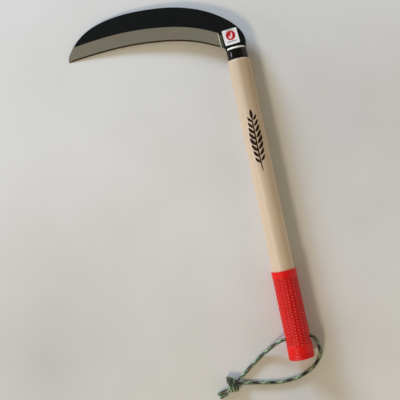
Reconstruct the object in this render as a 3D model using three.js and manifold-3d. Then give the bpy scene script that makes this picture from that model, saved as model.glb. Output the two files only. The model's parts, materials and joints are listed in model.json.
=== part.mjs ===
// Hand sickle with a fixed, single-bevel blade, a round wooden handle, a rubber grip and a cord lanyard.
//
// Units are millimetres. The tool is modelled in its own straight frame: the handle's axis is +Y with the
// butt at y = 0, the blade lies in the plane z = 0 and points to -X, and its bevel faces +Z.
// The tool is then laid down on the plane z = 0, on its grip, its shoulder and the tip of its blade.
// The lanyard is placed directly in the frame of the finished object.

import * as THREE from 'three';
import * as BufferGeometryUtils from 'three/addons/utils/BufferGeometryUtils.js';
import Module from 'manifold-3d';

const wasm = await Module();
wasm.setup();

// Clearances
const GAP = 0.3; // between neighbouring solids
const LABEL_GAP = 0.1; // the label is thin, so it sits closer to the blade

// Handle
const HANDLE_R = 13;
const SHOULDER_Y = 354.8; // the wood steps down into the ferrule here
const SHOULDER_ROUND = 2.6;
const TENON_R = 10.6; // wood inside the ferrule
const WOOD_END_Y = 368.7;
const KERF_BOTTOM_Y = 293;
const ROUND_SEGMENTS = 48;

// Ferrule
const FERRULE_R = 11.75;
const FERRULE_WALL = 0.85;
const FERRULE_LENGTH = 11.4;

// Grip sleeve
const GRIP_LENGTH = 104.5;
const GRIP_FRONT_R = 14.6;
const GRIP_END_R = 15.2;
const GRIP_FLOOR = 2.5; // thickness of the closed end
const GRIP_HOLE_R = 3.6;
const RING_DEPTH = 0.55; // grooves between the rings at the closed end
const RING_PITCH = 2.7;
const RING_COUNT = 2;
const FIRST_GROOVE_Y = 2.2;
const GROOVE_WIDTH = 1.4;

// Blade
const BLADE_THICKNESS = 2.2;
const EDGE_THICKNESS = 0.4;
const BEVEL_WIDTH = 16.6; // at the middle of the cutting edge
const BEVEL_END_NARROWING = 1.8; // how much narrower the bevel is at the tip and at the heel
const BEVEL_STATIONS = 36;
const NECK_HALF_WIDTH = 11.8;
const TANG_TOP_HALF_WIDTH = 9.2;
const TANG_END_HALF_WIDTH = 5;
const TANG_END_Y = 298;
const TANG_HOOK = 4; // the hooked end of the tang reaches this much further to the left
const TANG_HOOK_THICKNESS = 5;

// Nail through ferrule, wood and tang
const NAIL_R = 1.5;
const NAIL_HEAD_R = 2.8;
const NAIL_HEAD_THICKNESS = 0.6;
const NAIL_TOP_Z = 6.5;
const NAIL_Y = SHOULDER_Y + 6;

// Label
const LABEL_WIDTH = 17.4;
const LABEL_HEIGHT = 17.9;
const LABEL_THICKNESS = 0.2;
const LABEL_CORNER_R = 1;
const LABEL_CENTRE = [-3.1, 382.2];
const LABEL_TURN = THREE.MathUtils.degToRad(3.8);

// Lanyard
const CORD_R = 2;
const CORD_SIDES = 8;
const CORD_STEPS = 44;
const CORD_HOLE_Y = 24.8;
const TAIL_R = 1.75;
const TAIL_STEPS = 4;
const KNOT_SIZE = [12.2, 20.4, 10.8];
const KNOT_ROUND = 2.4;
const KNOT_CENTRE = [4.5, -233.5, 5.5];
const KNOT_TURN = THREE.MathUtils.degToRad(-10);

// Where the butt of the resting tool lies, so that the object's box is centred on the origin
const TOOL_X = 89.9;
const TOOL_Y = -217.6;

// The blade's back, from the neck round to the tip
const SPINE_POINTS = [
  [NECK_HALF_WIDTH, 366.8],
  [12.8, 374.3],
  [11.7, 382.8],
  [6, 392.9],
  [-8, 406.3],
  [-30, 419.7],
  [-60, 430],
  [-98, 434.9],
  [-132, 434.3],
  [-160, 428],
  [-178, 418.1],
  [-188.5, 407.3],
  [-194, 399.8],
  [-195.3, 393.8],
];

// The cutting edge, from the tip to the end of the bevel near the heel
const EDGE_POINTS = [
  [-195.3, 393.8],
  [-170, 396.1],
  [-144, 397.5],
  [-120, 397.5],
  [-95, 395.7],
  [-65, 391.1],
  [-41, 384],
  [-17, 372.9],
];
const HEEL_CORNER = [-12.7, 370.2];

// The lanyard's loop, from the knot along the left run, through the handle and back along the right run
const LOOP_ROUTE = [
  [13.4, -229.4, 3.9],
  [17.6, -226.5, 2.9],
  [25, -221.5, 2.1],
  [32.7, -215.9, 2.1],
  [40.3, -210.8, 2.3],
  [48.2, -205.9, 3.6],
  [56.4, -200.7, 6.8],
  [63.8, -196.4, 10.6],
  [69.2, -193.8, 13.2],
  [75, -192.7, 14.3],
  [82, -192.7, 14.6],
  [90, -192.8, 15.1],
  [97, -192.8, 15.6],
  [102, -192.9, 15.8],
  [106, -194.5, 15.2],
  [109, -197.7, 13.7],
  [110.8, -201.6, 11.7],
  [112.2, -206.3, 9],
  [113.1, -211.8, 5.8],
  [113, -217.7, 3.4],
  [111, -223.5, 2.2],
  [106.9, -229.1, 2.1],
  [100.5, -234.3, 2.1],
  [92, -238.7, 2.1],
  [82, -241.8, 2.1],
  [73, -243, 2.1],
  [63, -243.1, 2.1],
  [52.2, -242, 2.1],
  [41.5, -239.9, 2.1],
  [30.9, -237.8, 2.1],
  [21.1, -235.7, 2.2],
  [16.1, -234.8, 3.2],
  [11.8, -234.2, 4.2],
];

// The two short ends of the cord, from the knot outwards
const TAIL_ROUTES = [
  [[-4, -239, 3.2], [-8.4, -240.7, 2.4], [-15.1, -242.3, 1.9]],
  [[-4.3, -243.4, 3], [-8.4, -245.2, 2.4], [-13.8, -246.8, 1.9]],
];

// The resting pose. The handle slopes by the difference of the two radii it rests on, and it is rolled
// about its axis until the lower corner of the blade's tip touches the surface.
const WOOD_CONTACT_Y = SHOULDER_Y - SHOULDER_ROUND;
const REST_PITCH = -Math.atan((GRIP_FRONT_R - HANDLE_R) / (WOOD_CONTACT_Y - GRIP_LENGTH));
const BUTT_HEIGHT = GRIP_FRONT_R * Math.cos(REST_PITCH) - GRIP_LENGTH * Math.sin(REST_PITCH);
const [TIP_X, TIP_Y] = EDGE_POINTS[0];
const TIP_AXIS_HEIGHT = BUTT_HEIGHT + TIP_Y * Math.sin(REST_PITCH);
const REST_ROLL = Math.asin((TIP_AXIS_HEIGHT - BLADE_THICKNESS / 2) / TIP_X);

// Colours
const WOOD = material(0xd3bf9c, 0.6, 0);
const RUBBER = material(0xc4302f, 0.55, 0);
const BLACK_STEEL = material(0x101213, 0.25, 0.6);
const BLADE_STEEL = material(0x55544c, 0.45, 0.8);
const NAIL_STEEL = material(0x8a8a86, 0.4, 0.9);
const LABEL_PAPER = material(0xe6e3e4, 0.5, 0);
const CAMOUFLAGE_CORD = material(0x56603f, 0.9, 0);

function material(color, roughness, metalness) {
  return new THREE.MeshStandardMaterial({ color, roughness, metalness });
}

// Booleans

function toSolid(geometry) {
  const bare = geometry.clone();
  bare.deleteAttribute('normal');
  bare.deleteAttribute('uv');
  const merged = BufferGeometryUtils.mergeVertices(bare, 1e-4);
  return new wasm.Manifold(new wasm.Mesh({
    numProp: 3,
    vertProperties: new Float32Array(merged.attributes.position.array),
    triVerts: new Uint32Array(merged.index.array),
  }));
}

function toGeometry(solid) {
  const mesh = solid.getMesh();
  const geometry = new THREE.BufferGeometry();
  geometry.setAttribute('position', new THREE.BufferAttribute(new Float32Array(mesh.vertProperties), 3));
  geometry.setIndex(new THREE.BufferAttribute(new Uint32Array(mesh.triVerts), 1));
  geometry.computeVertexNormals();
  return geometry;
}

function cut(geometry, ...tools) {
  const body = tools.reduce((solid, tool) => solid.subtract(toSolid(tool)), toSolid(geometry));
  return toGeometry(body);
}

// Shapes

// A flat plate of the given outline, centred on the plane z = 0.
function plate(outline, thickness, curveSegments = 12) {
  const geometry = new THREE.ExtrudeGeometry(outline, { depth: thickness, bevelEnabled: false, curveSegments });
  return geometry.translate(0, 0, -thickness / 2);
}

// A solid of revolution about Y from [radius, y] pairs, listed so that its faces point out.
function turned(profile, segments = ROUND_SEGMENTS) {
  return new THREE.LatheGeometry(profile.map(([r, y]) => new THREE.Vector2(r, y)), segments);
}

// A closed solid through a row of sections, each a ring of points in the same order.
function loft(sections) {
  const ring = sections[0].length;
  const index = [];
  for (let s = 0; s < sections.length - 1; s += 1) {
    for (let i = 0; i < ring; i += 1) {
      const a = s * ring + i;
      const b = s * ring + ((i + 1) % ring);
      index.push(a, b, a + ring, b, b + ring, a + ring);
    }
  }
  const last = (sections.length - 1) * ring;
  for (let i = 1; i < ring - 1; i += 1) {
    index.push(0, i + 1, i, last, last + i, last + i + 1);
  }
  const geometry = new THREE.BufferGeometry();
  const positions = sections.flat().flatMap((point) => point.toArray());
  geometry.setAttribute('position', new THREE.Float32BufferAttribute(positions, 3));
  geometry.setIndex(index);
  return geometry;
}

// A round tube along a smooth route.
function tube(route, radius, steps) {
  const section = new THREE.Shape();
  for (let i = 0; i < CORD_SIDES; i += 1) {
    const angle = (i / CORD_SIDES) * 2 * Math.PI;
    const corner = [radius * Math.cos(angle), radius * Math.sin(angle)];
    if (i === 0) section.moveTo(...corner);
    else section.lineTo(...corner);
  }
  const extrudePath = new THREE.CatmullRomCurve3(route.map((point) => new THREE.Vector3(...point)));
  return new THREE.ExtrudeGeometry(section, { steps, extrudePath });
}

// A drill along the handle's left-right axis, at height y.
function crossDrill(radius, y) {
  const drill = new THREE.CylinderGeometry(radius, radius, 4 * HANDLE_R, 24);
  return drill.rotateZ(Math.PI / 2).translate(0, y, 0);
}

// A drill square to the blade's plane, for the nail.
function nailDrill() {
  const radius = NAIL_R + GAP;
  const bottom = -(FERRULE_R + 1);
  const top = NAIL_TOP_Z + GAP;
  const drill = new THREE.CylinderGeometry(radius, radius, top - bottom, 20);
  return drill.rotateX(Math.PI / 2).translate(0, NAIL_Y, (top + bottom) / 2);
}

function roundedRectangle(width, height, radius) {
  const x = width / 2;
  const y = height / 2;
  const shape = new THREE.Shape();
  shape.moveTo(x - radius, -y);
  shape.absarc(x - radius, -y + radius, radius, -Math.PI / 2, 0);
  shape.absarc(x - radius, y - radius, radius, 0, Math.PI / 2);
  shape.absarc(-x + radius, y - radius, radius, Math.PI / 2, Math.PI);
  shape.absarc(-x + radius, -y + radius, radius, Math.PI, Math.PI * 1.5);
  return shape;
}

// Parts of the rigid tool, in the tool's frame

function handleGeometry() {
  const butt = GRIP_FLOOR + GAP;
  const profile = [[0, butt], [HANDLE_R - 1, butt], [HANDLE_R, butt + 1]];
  for (const turn of [0, 0.25, 0.5, 0.75, 1]) {
    const angle = (turn * Math.PI) / 2;
    const r = HANDLE_R - SHOULDER_ROUND * (1 - Math.cos(angle)) * 0.8;
    profile.push([r, WOOD_CONTACT_Y + SHOULDER_ROUND * Math.sin(angle)]);
  }
  profile.push([TENON_R, SHOULDER_Y], [TENON_R, WOOD_END_Y - 1], [TENON_R - 1, WOOD_END_Y], [0, WOOD_END_Y]);
  const kerfHeight = WOOD_END_Y - KERF_BOTTOM_Y + 1;
  const kerf = new THREE.BoxGeometry(4 * HANDLE_R, kerfHeight, BLADE_THICKNESS + 2 * GAP);
  kerf.translate(0, KERF_BOTTOM_Y + kerfHeight / 2, 0);
  return cut(turned(profile), kerf, nailDrill(), crossDrill(CORD_R + 2 * GAP, CORD_HOLE_Y));
}

function ferruleGeometry() {
  const bottom = SHOULDER_Y + GAP;
  const top = bottom + FERRULE_LENGTH;
  const inner = FERRULE_R - FERRULE_WALL;
  const edge = 0.3;
  const ring = turned([
    [inner, bottom],
    [FERRULE_R - edge, bottom],
    [FERRULE_R, bottom + edge],
    [FERRULE_R, top - edge],
    [FERRULE_R - edge, top],
    [inner, top],
    [inner, bottom],
  ]);
  return cut(ring, nailDrill());
}

function gripSleeveGeometry() {
  const profile = [[0, 0], [GRIP_END_R - 1.6, 0], [GRIP_END_R - 0.5, 0.4], [GRIP_END_R, 1.3]];
  for (let i = 0; i < RING_COUNT; i += 1) {
    const y = FIRST_GROOVE_Y + i * RING_PITCH;
    const groove = GRIP_END_R - RING_DEPTH;
    const wall = GROOVE_WIDTH / 3;
    profile.push([GRIP_END_R, y], [groove, y + wall], [groove, y + 2 * wall], [GRIP_END_R, y + GROOVE_WIDTH]);
  }
  const inner = HANDLE_R + GAP;
  profile.push(
    [GRIP_END_R - 0.2, FIRST_GROOVE_Y + RING_COUNT * RING_PITCH],
    [GRIP_FRONT_R, GRIP_LENGTH - 0.6],
    [GRIP_FRONT_R - 0.4, GRIP_LENGTH],
    [inner, GRIP_LENGTH],
    [inner, GRIP_FLOOR],
    [0, GRIP_FLOOR],
  );
  return cut(turned(profile), crossDrill(GRIP_HOLE_R, CORD_HOLE_Y));
}

function nailGeometry() {
  const headTop = -(FERRULE_R + 0.2);
  const headBottom = headTop - NAIL_HEAD_THICKNESS;
  const nail = turned([
    [0, headBottom],
    [NAIL_HEAD_R - 0.5, headBottom],
    [NAIL_HEAD_R, headTop - 0.2],
    [NAIL_HEAD_R, headTop],
    [NAIL_R, headTop],
    [NAIL_R, NAIL_TOP_Z - 3],
    [0.3, NAIL_TOP_Z],
    [0, NAIL_TOP_Z],
  ], 20);
  return nail.rotateX(Math.PI / 2).translate(0, NAIL_Y, 0);
}

function bladeOutline() {
  const shoulderY = SHOULDER_Y + FERRULE_LENGTH + 2 * GAP;
  const toVectors = (points) => points.map(([x, y]) => new THREE.Vector2(x, y));
  const outline = new THREE.Shape();
  outline.moveTo(TANG_TOP_HALF_WIDTH, shoulderY);
  outline.lineTo(...SPINE_POINTS[0]);
  outline.splineThru(toVectors(SPINE_POINTS.slice(1)));
  outline.splineThru(toVectors(EDGE_POINTS.slice(1)));
  outline.lineTo(...HEEL_CORNER);
  outline.lineTo(-NECK_HALF_WIDTH, shoulderY);
  outline.lineTo(-TANG_TOP_HALF_WIDTH, shoulderY);
  outline.lineTo(-TANG_END_HALF_WIDTH, TANG_END_Y + TANG_HOOK_THICKNESS);
  outline.lineTo(-TANG_END_HALF_WIDTH - TANG_HOOK, TANG_END_Y + TANG_HOOK_THICKNESS);
  outline.lineTo(-TANG_END_HALF_WIDTH - TANG_HOOK, TANG_END_Y);
  outline.lineTo(TANG_END_HALF_WIDTH, TANG_END_Y);
  outline.closePath();
  return outline;
}

// What the grinding takes off the blade's upper side: a wedge along the cutting edge.
function bevelCutter() {
  const edge = new THREE.SplineCurve(EDGE_POINTS.map(([x, y]) => new THREE.Vector2(x, y)));
  const top = BLADE_THICKNESS / 2;
  const overshoot = 0.1; // the wedge runs on past the edge and past the bevel's upper line
  const sections = [];
  for (let i = -1; i <= BEVEL_STATIONS; i += 1) {
    const t = Math.max(i, 0) / BEVEL_STATIONS;
    const tangent = edge.getTangent(t);
    const point = edge.getPoint(t).addScaledVector(tangent, i < 0 ? -2 : 0);
    const inward = new THREE.Vector2(-tangent.y, tangent.x);
    const width = BEVEL_WIDTH - BEVEL_END_NARROWING * (2 * t - 1) ** 2;
    const drop = BLADE_THICKNESS - EDGE_THICKNESS;
    const at = (across, z) => {
      const { x, y } = point.clone().addScaledVector(inward, across * width);
      return new THREE.Vector3(x, y, z);
    };
    sections.push([
      at(-overshoot, top - drop * (1 + overshoot)),
      at(1 + overshoot, top + drop * overshoot),
      at(1 + overshoot, top + 1),
      at(-overshoot, top + 1),
    ]);
  }
  return loft(sections);
}

function bladeGeometry() {
  return cut(plate(bladeOutline(), BLADE_THICKNESS, 5), bevelCutter(), nailDrill());
}

function labelGeometry() {
  const label = plate(roundedRectangle(LABEL_WIDTH, LABEL_HEIGHT, LABEL_CORNER_R), LABEL_THICKNESS, 4);
  const height = BLADE_THICKNESS / 2 + LABEL_GAP + LABEL_THICKNESS / 2;
  return label.rotateZ(LABEL_TURN).translate(...LABEL_CENTRE, height);
}

// The knot's outer shape, a rounded block, in the object's frame
function knotGeometry() {
  const [width, length, height] = KNOT_SIZE;
  const inset = 2 * KNOT_ROUND;
  const outline = roundedRectangle(width - inset, length - inset, KNOT_ROUND);
  const block = new THREE.ExtrudeGeometry(outline, {
    depth: height - inset,
    bevelThickness: KNOT_ROUND,
    bevelSize: KNOT_ROUND,
    bevelSegments: 3,
    curveSegments: 4,
  });
  return block.translate(0, 0, KNOT_ROUND - height / 2).rotateZ(KNOT_TURN).translate(...KNOT_CENTRE);
}

function part(name, geometry, partMaterial) {
  const mesh = new THREE.Mesh(geometry, partMaterial);
  mesh.name = name;
  return mesh;
}

const tool = new THREE.Group();
tool.add(
  part('handle', handleGeometry(), WOOD),
  part('grip_sleeve', gripSleeveGeometry(), RUBBER),
  part('ferrule', ferruleGeometry(), BLACK_STEEL),
  part('tang_nail', nailGeometry(), NAIL_STEEL),
  part('blade', bladeGeometry(), BLADE_STEEL),
  part('label', labelGeometry(), LABEL_PAPER),
);
tool.rotation.set(REST_PITCH, REST_ROLL, 0);
tool.position.set(TOOL_X, TOOL_Y, BUTT_HEIGHT);

const sickle = new THREE.Group();
sickle.add(tool);
sickle.add(part('lanyard_loop', tube(LOOP_ROUTE, CORD_R, CORD_STEPS), CAMOUFLAGE_CORD));
sickle.add(part('lanyard_knot', knotGeometry(), CAMOUFLAGE_CORD));
TAIL_ROUTES.forEach((route, i) => {
  sickle.add(part(`lanyard_tail_${i + 1}`, tube(route, TAIL_R, TAIL_STEPS), CAMOUFLAGE_CORD));
});

export default sickle;
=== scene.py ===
"""Looks of the hand sickle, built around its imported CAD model.

All Blender lengths are metres. The sizes below are millimetres and go through mm() or the TOOL matrix.
The rigid tool is modelled in its own straight frame, as in CAD: the handle's axis is +Y with the butt at
y = 0, the blade lies in the plane z = 0, points to -X and has its bevel on the +Z side.
"""

import json
import math

import bmesh
import bpy
from mathutils import Matrix, Vector


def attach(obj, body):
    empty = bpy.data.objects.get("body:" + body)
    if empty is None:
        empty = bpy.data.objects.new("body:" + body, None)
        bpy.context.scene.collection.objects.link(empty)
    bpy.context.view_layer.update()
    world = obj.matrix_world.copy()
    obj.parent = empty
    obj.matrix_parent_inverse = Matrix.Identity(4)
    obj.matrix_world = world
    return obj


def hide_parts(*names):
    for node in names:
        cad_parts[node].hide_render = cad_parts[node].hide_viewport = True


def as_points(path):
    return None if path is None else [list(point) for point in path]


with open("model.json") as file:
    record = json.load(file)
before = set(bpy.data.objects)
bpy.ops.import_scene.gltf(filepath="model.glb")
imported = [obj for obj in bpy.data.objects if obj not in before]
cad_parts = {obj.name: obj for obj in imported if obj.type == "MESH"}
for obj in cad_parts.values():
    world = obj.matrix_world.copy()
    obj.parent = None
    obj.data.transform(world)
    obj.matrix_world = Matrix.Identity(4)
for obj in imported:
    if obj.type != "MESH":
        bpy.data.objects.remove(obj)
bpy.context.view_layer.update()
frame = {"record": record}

MM = 0.001
BODY = "root"

# The tool's resting place: its butt's centre and its slope come from the record, its roll from CAD
BUTT = next(m for m in frame["record"]["mounts"] if m["name"] == "butt_end")
REST_SLOPE = -math.asin(BUTT["axis"][2])
REST_ROLL = math.radians(-3.414)
TOOL = (
    Matrix.Translation(BUTT["pos_m"])
    @ Matrix.Rotation(REST_SLOPE, 4, "X")
    @ Matrix.Rotation(REST_ROLL, 4, "Y")
    @ Matrix.Scale(MM, 4)
)


# ---------------- geometry helpers


def mm(*values):
    """A point or size given in millimetres, in metres."""
    return Vector(values) * MM


def spline(points, samples_per_span=12):
    """A smooth polyline through the points (centripetal Catmull-Rom), as a list of vectors."""
    knots = [Vector(p) for p in points]
    knots = [2 * knots[0] - knots[1], *knots, 2 * knots[-1] - knots[-2]]
    line = []
    for p0, p1, p2, p3 in zip(knots, knots[1:], knots[2:], knots[3:]):
        t0 = 0.0
        t1 = t0 + math.sqrt((p1 - p0).length)
        t2 = t1 + math.sqrt((p2 - p1).length)
        t3 = t2 + math.sqrt((p3 - p2).length)
        for i in range(samples_per_span):
            t = t1 + (t2 - t1) * i / samples_per_span
            a1 = p0.lerp(p1, (t - t0) / (t1 - t0))
            a2 = p1.lerp(p2, (t - t1) / (t2 - t1))
            a3 = p2.lerp(p3, (t - t2) / (t3 - t2))
            b1 = a1.lerp(a2, (t - t0) / (t2 - t0))
            b2 = a2.lerp(a3, (t - t1) / (t3 - t1))
            line.append(b1.lerp(b2, (t - t1) / (t2 - t1)))
    line.append(knots[-2])
    return line


class Line:
    """A polyline that can be asked for the point at a given distance along it."""

    def __init__(self, points):
        self.points = [Vector(p) for p in points]
        self.at = [0.0]
        for a, b in zip(self.points, self.points[1:]):
            self.at.append(self.at[-1] + (b - a).length)
        self.length = self.at[-1]

    def point(self, distance):
        distance = min(max(distance, 0.0), self.length)
        i = 1
        while i < len(self.at) - 1 and self.at[i] < distance:
            i += 1
        span = self.at[i] - self.at[i - 1]
        return self.points[i - 1].lerp(self.points[i], (distance - self.at[i - 1]) / span)

    def nearest(self, place):
        """The distance from a place to the line, and how far along the line its nearest point is."""
        best, along = math.inf, 0.0
        for a, b, at in zip(self.points, self.points[1:], self.at):
            span = b - a
            part = min(max((place - a).dot(span) / span.length_squared, 0.0), 1.0)
            distance = (place - a - span * part).length
            if distance < best:
                best, along = distance, at + part * span.length
        return best, along

    def spaced(self, step):
        """Points about a step apart, both ends included."""
        count = max(2, round(self.length / step))
        return [self.point(self.length * i / count) for i in range(count + 1)]


def new_object(name, vertices, faces, materials, face_material=None, sharp_angle=None, matrix=None):
    """A smooth-shaded mesh object with its faces turned outwards and points that coincide merged.

    face_material gives each face's material index. matrix places the vertices.
    """
    mesh = bpy.data.meshes.new(name)
    mesh.from_pydata([tuple(v) for v in vertices], [], faces)
    for material in materials:
        mesh.materials.append(material)
    if face_material is not None:
        mesh.polygons.foreach_set("material_index", face_material)
    bm = bmesh.new()
    bm.from_mesh(mesh)
    bmesh.ops.remove_doubles(bm, verts=bm.verts, dist=1e-4)
    bmesh.ops.recalc_face_normals(bm, faces=bm.faces)
    for face in bm.faces:
        face.smooth = True
    if matrix is not None:
        bmesh.ops.transform(bm, matrix=matrix, verts=bm.verts)
    bm.to_mesh(mesh)
    bm.free()
    if sharp_angle is not None:
        mesh.set_sharp_from_angle(angle=math.radians(sharp_angle))
    obj = bpy.data.objects.new(name, mesh)
    bpy.context.scene.collection.objects.link(obj)
    return obj


def ring_faces(ring_count, ring_size, caps=True):
    """Faces of a solid through ring_count rings of ring_size points, with flat caps at its ends."""
    faces = []
    for r in range(ring_count - 1):
        for i in range(ring_size):
            j = (i + 1) % ring_size
            a, b = r * ring_size, (r + 1) * ring_size
            faces.append((a + i, a + j, b + j, b + i))
    if caps:
        last = (ring_count - 1) * ring_size
        faces.append(tuple(reversed(range(ring_size))))
        faces.append(tuple(last + i for i in range(ring_size)))
    return faces


def turned(profile, segments, radius_at=None):
    """Vertices and faces of a solid turned about Y, from a closed list of (radius, y) corners.

    Corners on the axis are the middles of flat ends. radius_at(radius, y, angle) may change a radius.
    """
    vertices = []
    for radius, y in profile:
        for i in range(segments):
            angle = 2 * math.pi * i / segments
            r = radius_at(radius, y, angle) if radius_at and radius else radius
            vertices.append((r * math.sin(angle), y, r * math.cos(angle)))
    faces = []
    for k in range(len(profile)):
        after = (k + 1) % len(profile)
        if profile[k][0] == 0 and profile[after][0] == 0:
            continue
        for i in range(segments):
            j = (i + 1) % segments
            a, b = k * segments, after * segments
            faces.append((a + i, a + j, b + j, b + i))
    return vertices, faces


def arc(x, y, radius, start, end, steps=6):
    """Points of a profile or an outline on an arc, its angles in degrees from the first axis on."""
    points = []
    for i in range(steps + 1):
        angle = math.radians(start + (end - start) * i / steps)
        points.append((x + radius * math.cos(angle), y + radius * math.sin(angle)))
    return points


def cut(obj, *cutters, sharp_angle):
    """Cuts the cutters out of the object, removes them, and makes edges over sharp_angle degrees sharp."""
    for cutter in cutters:
        modifier = obj.modifiers.new("cut", "BOOLEAN")
        modifier.operation = "DIFFERENCE"
        modifier.solver = "EXACT"
        modifier.object = cutter
    depsgraph = bpy.context.evaluated_depsgraph_get()
    mesh = bpy.data.meshes.new_from_object(obj.evaluated_get(depsgraph))
    obj.modifiers.clear()
    obj.data = mesh
    for cutter in cutters:
        bpy.data.objects.remove(cutter)
    mesh.set_sharp_from_angle(angle=math.radians(sharp_angle))


def drill(radius, start, end, segments=48):
    """A cutter: a round bar between two points of the tool's frame."""
    start, end = Vector(start), Vector(end)
    turn = Vector((0, 1, 0)).rotation_difference(end - start).to_matrix().to_4x4()
    length = (end - start).length
    vertices, faces = turned([(0, 0), (radius, 0), (radius, length), (0, length)], segments)
    return new_object("cutter", vertices, faces, [], matrix=TOOL @ Matrix.Translation(start) @ turn)


def box_cutter(low, high):
    """A cutter: a box between two corners in the tool's frame."""
    outline = [(low[0], low[1]), (high[0], low[1]), (high[0], high[1]), (low[0], high[1])]
    vertices, faces = plate(outline, low[2], high[2])
    return new_object("cutter", vertices, faces, [], matrix=TOOL)


def plate(outline, bottom, top):
    """Vertices and faces of a flat plate of the given outline, between two heights."""
    vertices = [(x, y, z) for z in (bottom, top) for x, y in outline]
    return vertices, ring_faces(2, len(outline))


def leaf_sides(foot, direction, length, bend, half_width_at, steps):
    """Pairs of points on both sides of a leaf. direction and bend are degrees, half_width_at takes 0-1."""
    sides = []
    place = Vector(foot)
    for i in range(steps + 1):
        part = i / steps
        heading = math.radians(direction + bend * part)
        forward = Vector((math.cos(heading), math.sin(heading)))
        side = Vector((-forward.y, forward.x)) * half_width_at(part)
        sides.append((place + side, place - side))
        place = place + forward * (length / steps)
    return sides


def join_parts(parts):
    """One list of vertices, faces and material indices from (vertices, faces, material index) parts."""
    vertices, faces, indices = [], [], []
    for part_vertices, part_faces, material_index in parts:
        base = len(vertices)
        vertices += list(part_vertices)
        faces += [tuple(base + i for i in face) for face in part_faces]
        indices += [material_index] * len(part_faces)
    return vertices, faces, indices


def paint(obj, name, value_at):
    """Stores value_at(x, y, z), a number for each vertex at its millimetre place on the tool."""
    to_tool = TOOL.inverted()
    layer = obj.data.attributes.new(name, "FLOAT", "POINT")
    layer.data.foreach_set("value", [value_at(*(to_tool @ v.co)) for v in obj.data.vertices])


# ---------------- material helpers


def srgb(red, green, blue):
    """A colour given as 0-255 screen values, as the linear colour that shaders use."""
    channels = []
    for value in (red, green, blue):
        c = value / 255
        channels.append(c / 12.92 if c <= 0.04045 else ((c + 0.055) / 1.055) ** 2.4)
    return (*channels, 1.0)


NOISE_ROUGHNESS = 0.55


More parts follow.
